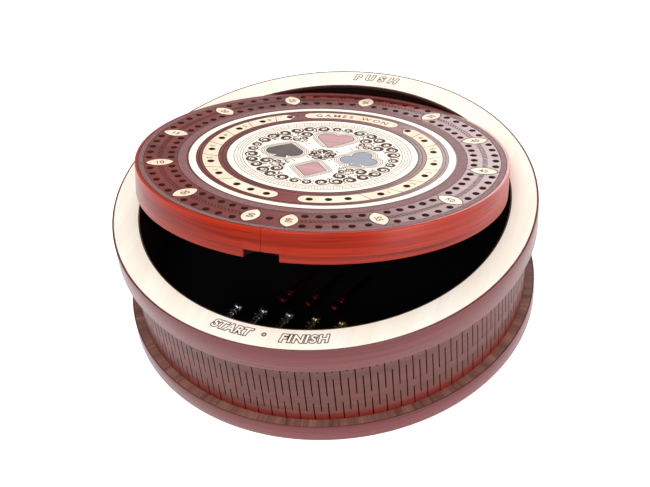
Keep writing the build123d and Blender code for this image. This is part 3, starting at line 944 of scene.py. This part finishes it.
def make_lid_wood():
    """Edge band with notch and joint, drilled boards, maple inlays and the dark backing below the holes."""
    low, base_top = RIM_TOP - LID_THICKNESS, RIM_TOP - LID_THICKNESS + LID_BASE
    low_edge, top_edge, top_soft = 0.3, 0.4, 0.12
    band = lathe("lid_band", [
        (BOARD_RADIUS, low), (LID_RADIUS - low_edge, low), (LID_RADIUS, low + low_edge),
        (LID_RADIUS, RIM_TOP - top_edge), (LID_RADIUS - top_soft, RIM_TOP - top_soft),
        (LID_RADIUS - top_edge, RIM_TOP), (BOARD_RADIUS, RIM_TOP)],
        red_side, "lid", steps=512)
    notch = circle(NOTCH_RADIUS, 64, (0, -LID_RADIUS))
    seam_half, seam_reach = 0.08, 2.0
    seam = [(side * seam_half, -LID_RADIUS + along * seam_reach)
            for side, along in ((-1, -1), (1, -1), (1, 1), (-1, 1))]
    cut(band, [post("notch_cutter", notch, low - 1, low + NOTCH_HEIGHT),
               post("seam_cutter", seam, low - 1, RIM_TOP + 1)])
    stand_for("lid_edge_band")

    hole_bottom = RIM_TOP - HOLE_DEPTH
    track_places = [around(0, MIDDLE_TRACK)]
    for leg in range(LOZENGES - 1):
        for angle in leg_angles(leg):
            track_places += [around(angle, OUTER_TRACK), around(angle, INNER_TRACK)]
    lozenges = [lozenge_outline(lozenge_angle(number)) for number in range(LOZENGES)]
    track = plate("lid_track", [circle(BOARD_RADIUS, 512), circle(RING_OUTER, 360), *lozenges,
                                *[hole(place) for place in track_places]],
                  hole_bottom, RIM_TOP, red_face, drilled=track_places)
    stand_for("lid_board")

    arcs = [band_outline(ARC_INNER, ARC_OUTER, ARC_FRONT_ANGLE, ARC_BACK_ANGLE, True, mirrored)
            for mirrored in (True, False)]
    sign = band_outline(ARC_INNER, ARC_OUTER, PLATE_START_ANGLE, 360 - PLATE_START_ANGLE)
    middle = plate("lid_middle", [circle(RING_INNER, 360), circle(DISC_RADIUS, 360), *arcs, sign],
                   hole_bottom, RIM_TOP, red_face)
    backing = lathe("lid_backing", [
        (0, base_top), (BOARD_RADIUS, base_top), (BOARD_RADIUS, hole_bottom), (0, hole_bottom)],
        burnt_mark, "lid", steps=256)

    ring = lathe("ring_inlay", [
        (RING_OUTER, RIM_TOP - DEEP_INLAY), (RING_OUTER, RIM_TOP - FINE_EDGE),
        (RING_OUTER - FINE_EDGE, RIM_TOP), (RING_INNER + FINE_EDGE, RIM_TOP),
        (RING_INNER, RIM_TOP - FINE_EDGE), (RING_INNER, RIM_TOP - DEEP_INLAY)],
        maple_ring_wood, "lid", steps=360)
    stand_for("maple_ring")
    for side, outline, node in ((-1, arcs[0], "tally_arc_left"), (1, arcs[1], "tally_arc_right")):
        places = [around(side * angle, ARC_MIDDLE) for angle in tally_angles()]
        arc = plate(node + "_inlay", [outline, *[hole(place) for place in places]], hole_bottom, RIM_TOP,
                    maple_arc_wood, drilled=places)
        stand_for(node)
    shield = plate("tally_plate_inlay", [sign], RIM_TOP - DEEP_INLAY, RIM_TOP, maple_arc_wood)
    stand_for("tally_plate")
    for number, outline in enumerate(lozenges):
        node = f"number_lozenge_{number * HOLES_PER_LEG:02d}"
        inlay = plate(node + "_inlay", [outline], RIM_TOP - THIN_INLAY, RIM_TOP, maple_arc_wood,
                      SUIT_EDGE)
        stand_for(node)


SUITS = {
    "suit_spade": (shifted(spade_points(SUIT_WIDTH, SUIT_HEIGHT), -SUIT_OFFSET, 0), dark_wood, "dark_wood"),
    "suit_heart": (shifted(heart_points(SUIT_WIDTH, SUIT_HEIGHT), 0, SUIT_OFFSET), rose_wood, "rose_wood"),
    "suit_club": (shifted(club_points(SUIT_WIDTH, SUIT_HEIGHT), SUIT_OFFSET, 0), grey_wood, "grey_wood"),
    "suit_diamond": (shifted(diamond_points(DIAMOND_WIDTH, SUIT_HEIGHT), 0, -SUIT_OFFSET), rose_wood,
                     "rose_wood"),
}


def make_disc():
    outlines = [outline for outline, _, _ in SUITS.values()]
    disc = plate("disc_inlay", [circle(DISC_RADIUS, 360), *outlines], RIM_TOP - DEEP_INLAY, RIM_TOP,
                 maple_ring_wood, SUIT_EDGE)
    stand_for("centre_disc")
    for node, (outline, material, slot_name) in SUITS.items():
        piece = plate(node + "_inlay", [outline], RIM_TOP - THIN_INLAY, RIM_TOP, material, SUIT_EDGE)
        stand_for(node)


# ---- marks on the lid ----
def lid_bands():
    low, high = RIM_TOP - MARK_ROOT, RIM_TOP + MARK
    for name, (inner, outer) in (("outer_burnt_band", OUTER_BAND), ("inner_burnt_band", INNER_BAND)):
        band = lathe(name, [(inner, low), (outer, low), (outer, high), (inner, high)],
                     stipple_face, "lid", steps=360)


def track_marks():
    """Lines beside bands and rings, and the ladder between the two rows of holes of each leg."""
    beside, arc_gap_outer, arc_gap_inner, ring_width = 0.1, 1.2, 1.6, 0.28
    overrun, rail_offset, rail_width = 1.3, 0.95, 0.16
    rungs, rung_turn, rung_reach, rung_width = 16, 0.5, 0.75, 0.5
    burn = Marks(RIM_TOP)
    for radius in (OUTER_BAND[1] + beside, OUTER_BAND[0] - beside, INNER_BAND[1] + beside,
                   INNER_BAND[0] - beside, RING_OUTER, RING_INNER, ARC_OUTER + arc_gap_outer,
                   ARC_INNER - arc_gap_inner, DISC_RADIUS + beside):
        burn.ring(radius, ring_width)
    for leg in range(LOZENGES - 1):
        angles = leg_angles(leg)
        first, last = angles[0] - overrun, angles[-1] + overrun
        for radius in (MIDDLE_TRACK - rail_offset, MIDDLE_TRACK + rail_offset):
            burn.strip([around(first + (last - first) * k / 24, radius) for k in range(25)], rail_width)
        for k in range(rungs):
            angle = first + (last - first) * (k + 0.5) / rungs
            burn.strip([around(angle - rung_turn, MIDDLE_TRACK - rung_reach),
                        around(angle + rung_turn, MIDDLE_TRACK + rung_reach)], rung_width)
    burn.piece("track_lines", burnt_mark, "lid")


def lozenge_marks():
    """Outline, two spokes and the number of each lozenge."""
    line_offset, line_width, spoke_width = 0.05, 0.42, 0.3
    spokes = ((MIDDLE_TRACK - 9.2, MIDDLE_TRACK - 6.4), (MIDDLE_TRACK + 6.4, MIDDLE_TRACK + 8.6))
    burn = Marks(RIM_TOP)
    digits = Lettering("lozenge_numbers", brown_mark, RIM_TOP, "lid")
    for number in range(LOZENGES):
        angle = lozenge_angle(number)
        burn.strip(grown(lozenge_outline(angle), line_offset), line_width, True)
        for inner, outer in spokes:
            burn.strip([around(angle, inner), around(angle, outer)], spoke_width)
        across = -90 if number > (LOZENGES - 1) / 2 else 90
        text = f"{number * HOLES_PER_LEG:02d}"
        digits.put(text, 3.0, around(angle, MIDDLE_TRACK), angle + across, weight=0.03)
    burn.piece("lozenge_outlines", burnt_mark, "lid")
    digits.piece()


def tally_marks():
    """Edge lines of the arcs and the sign, slashes between the holes, numbers and the sign's words."""
    line_inset, line_width = 0.1, 0.32
    slash_turn, slash_inset, slash_width = 1.6, 0.3, 0.26
    number_turn, number_lift, number_cap, sign_cap = 4.4, 0.3, 2.5, 3.3
    inner, outer = ARC_INNER + line_inset, ARC_OUTER - line_inset
    burn = Marks(RIM_TOP)
    digits = Lettering("tally_numbers", brown_mark, RIM_TOP, "lid")
    angles = tally_angles()
    for side in (-1, 1):
        outline = band_outline(inner, outer, ARC_FRONT_ANGLE, ARC_BACK_ANGLE, True, side < 0)
        burn.strip(outline, line_width, True)
        for before, after in zip(angles[2:], angles[3:]):
            middle = (before + after) / 2
            burn.strip([around(side * (middle - slash_turn), ARC_INNER + slash_inset),
                        around(side * (middle + slash_turn), ARC_OUTER - slash_inset)], slash_width)
        for k in range(TALLY_HOLES):
            angle = side * (angles[len(PARK_HOLES) + k] + number_turn)
            turn = angle + (180 if abs(angle) > 90 else 0)
            digits.put(str(k + 1), number_cap, around(angle, ARC_MIDDLE + number_lift), turn)
    burn.strip(band_outline(inner, outer, PLATE_START_ANGLE, 360 - PLATE_START_ANGLE), line_width, True)
    burn.piece("tally_lines", burnt_mark, "lid")
    digits.arc("GAMES WON", sign_cap, 200.5, 159.5, ARC_MIDDLE, True, weight=0.03)
    digits.piece()


def outline_tree(outlines):
    """Search tree over points set closely along closed outlines."""
    places = []
    for outline in outlines:
        for start, end in zip(outline, outline[1:] + outline[:1]):
            a, b = Vector(start), Vector(end)
            count = max(1, int((b - a).length / 0.1))
            places += [a + (b - a) * k / count for k in range(count)]
    return search_tree(places)


def halo(tree, middle, distance, reach=14.0, steps=120):
    """Closed line round a suit that keeps that distance from it, found from outside along rays."""
    points = []
    for k in range(steps):
        ray = around(360 * k / steps, 1.0)
        far = reach
        while far > 0 and tree.find((*(middle + ray * far), 0))[2] > distance:
            far -= 0.08
        points.append(tuple(middle + ray * far))
    return points


def eightfold(x, y):
    """The place and its seven mirror images on the disc."""
    return [Matrix.Rotation(math.radians(90 * quarter), 2) @ Vector((hand * x, y))
            for quarter in range(4) for hand in (1, -1)]


def curl_places(tree):
    """Circles packed into one eighth of the disc, largest first: (angle, radius, size)."""
    outer_limit, inner_limit, ring_step, tries = 33.9, 2.0, 0.35, 60
    gap, mirror_share, suit_gap, suit_reach = 0.1, 0.9, 2.85, 6.0
    middles = [around(90 * quarter, SUIT_OFFSET) for quarter in range(4)]
    placed = []
    for size in (2.9, 2.3, 1.8, 1.35, 1.0, 0.7, 0.5):
        radius = outer_limit - size
        while radius > inner_limit + size:
            for step in range(1, tries):
                angle = 45 * step / tries
                spot = around(angle, radius)
                clear = all((spot - around(a, r)).length > size + other + gap for a, r, other in placed)
                edges = radius * min(math.sin(math.radians(angle)), math.sin(math.radians(45 - angle)))
                off_suits = all((image - middle).length > suit_reach
                                and tree.find((*image, 0))[2] > size + suit_gap
                                for image in eightfold(*spot) for middle in middles)
                if clear and edges > size * mirror_share and off_suits:
                    placed.append((angle, radius, size))
            radius -= ring_step
    return placed


def disc_marks():
    """Rings, a fringe of ticks and dots, packed curls, a rosette and the lines that echo each suit."""
    golden_turn, long_turns, short_turns, dot_share = 137.5, 1.6, 1.1, 0.62
    burn = Marks(RIM_TOP)
    for radius, width in ((DISC_RADIUS - 0.25, 0.3), *DISC_LINES):
        burn.ring(radius, width)
    for k in range(180):
        if k % 3 == 0:
            burn.strip([around(2 * k, radius) for radius in FRINGE], 0.26)
        else:
            burn.dot(around(2 * k, 37.5), 0.3, 6)
    outlines = [outline for outline, _, _ in SUITS.values()]
    for order, (angle, radius, size) in enumerate(curl_places(outline_tree(outlines))):
        spot = around(angle, radius)
        if size < 0.9:
            for image in eightfold(*spot):
                burn.dot(image, size * dot_share, 8)
            continue
        turns = long_turns if size > 1.4 else short_turns
        points, widths = scroll(spot, golden_turn * order, turns, size * 0.98, 1 if order % 2 else -1)
        for image in zip(*(eightfold(*point) for point in points)):
            burn.strip(image, widths)
    for k in range(8):
        burn.strip(*petal(around(45 * k, 1.0), around(45 * k, 4.4 if k % 2 else 5.6), 1.2))
    for outline in outlines:
        middle = sum((Vector(p) for p in outline), Vector((0, 0))) / len(outline)
        suit = outline_tree([outline])
        for distance, width in SUIT_LINES:
            burn.strip(halo(suit, middle, distance), width, True)
    burn.piece("disc_scrollwork", burnt_mark, "lid")


# ---- pegs ----
def peg_profile():
    """(radius, height) outline of a turned peg: ball head at height 0, two collars, tapering shank."""
    points = []
    for k in range(13):
        turn = math.radians(90 - k * 12.5)
        points.append((PEG_BALL * math.cos(turn), PEG_BALL * math.sin(turn)))
    collar, end = -PEG_BALL - 0.5, PEG_BALL - PEG_LENGTH
    points += [(1.35, -PEG_BALL * 0.98), (1.3, collar + 0.15), (2.2, collar), (2.45, collar - 0.3),
               (2.45, collar - 1.1), (2.2, collar - 1.4), (1.7, collar - 1.6), (1.6, collar - 2.0),
               (1.95, collar - 2.3), (1.95, collar - 2.9), (1.45, collar - 3.3), (1.4, -14.0),
               (PEG_TIP, end + 0.2), (0.9, end), (0, end)]
    return points


def make_pegs():
    """Three rows of loose pegs that lie on the lining, on ball and tip."""
    rows = (("peg_steel", -34.2, -35.0, -20.0, steel, "steel"),
            ("peg_brass", 3.3, -35.0, -20.0, brass, "brass"),
            ("peg_red", -15.4, -26.0, 160.0, red_metal, "red_metal"))
    sink = math.atan2(PEG_BALL - PEG_TIP, PEG_LENGTH - PEG_BALL)
    height = FLOOR_TOP + PEG_BALL + 0.05
    for name, first_x, row_y, turn, material, slot_name in rows:
        lie = Matrix.Rotation(math.radians(turn), 4, "Z") @ Matrix.Rotation(-math.pi / 2 + sink, 4, "X")
        for number in range(3):
            node = f"{name}_{number + 1}"
            ball = Vector((first_x + number * PEG_PITCH, row_y, height)) * MM
            peg = lathe(node + "_turned", peg_profile(), material, "box", steps=48,
                        place=Matrix.Translation(ball) @ lie)
            stand_for(node)


# ---- stage ----
def make_stage():
    """White paper, a little bright of itself, that reaches out of view on all sides."""
    size = 4000
    corners = [(-size, -size, 0), (size, -size, 0), (size, size, 0), (-size, size, 0)]
    floor = new_object("floor", new_mesh("floor", corners, [(0, 1, 2, 3)]))
    finish = Finish("floor_paper", roughness=0.9, specular=0.1)
    finish.paint((0.88, 0.88, 0.88, 1))
    finish.shader.inputs["Emission Color"].default_value = (1, 1, 1, 1)
    finish.shader.inputs["Emission Strength"].default_value = 0.6
    floor.data.materials.append(finish.material)


def soft_box(name, place, size, power):
    """Area light that faces the middle of the box."""
    light = bpy.data.lights.new(name, "AREA")
    light.shape = "RECTANGLE"
    light.size, light.size_y = size
    light.energy = power
    holder = new_object(name, light)
    holder.location = place
    holder.rotation_euler = (Vector((0, 0, 0.04)) - Vector(place)).to_track_quat("-Z", "Y").to_euler()


def make_lights():
    world = bpy.data.worlds.new("studio")
    bpy.context.scene.world = world
    world.use_nodes = True
    background = world.node_tree.nodes["Background"]
    background.inputs["Color"].default_value = (1, 1, 1, 1)
    background.inputs["Strength"].default_value = 0.14
    soft_box("back_window", (0.42, 1.35, 0.28), (1.5, 0.5), 16)
    soft_box("overhead", (-0.1, -0.1, 1.3), (1.2, 1.2), 15)
    soft_box("left_card", (-1.2, -0.4, 0.7), (0.7, 0.7), 2.5)
    soft_box("front_fill", (0.1, -1.3, 0.9), (1.0, 0.8), 3.5)
    soft_box("glint", (0.05, -0.62, 0.5), (0.12, 0.12), 0.8)
    soft_box("right_card", (1.2, -0.5, 0.4), (0.7, 0.7), 7)


def make_camera():
    """Camera at the photograph's viewing angle."""
    data = bpy.data.cameras.new("camera")
    data.lens = 76.30
    data.sensor_width = 36.0
    right = Vector((0.95594, 0.28290, -0.07843))
    up = Vector((-0.13588, 0.66322, 0.73598))
    back = right.cross(up)
    camera = new_object("camera", data)
    turn = Matrix((right, up, back)).transposed().to_4x4()
    place = Vector((163.48, -440.14, 454.10)) * MM
    camera.matrix_world = Matrix.Translation(place) @ turn
    bpy.context.scene.camera = camera


make_camera()
make_lights()
make_stage()
make_base()
make_rim()
rim_marks()
rim_lettering()
dress("drum_wall", drum_wood)
dress("drum_sleeve", dark_inside)
dress("floor_lining", black_lining)
dress("stop_tab", dark_inside)
dress("pivot_pin_left", pin_steel)
dress("pivot_pin_right", pin_steel)
dress("lid_base", dark_inside)
make_lid_wood()
make_disc()
lid_bands()
track_marks()
lozenge_marks()
tally_marks()
disc_marks()
make_pegs()
bpy.context.scene.view_settings.view_transform = "Standard"
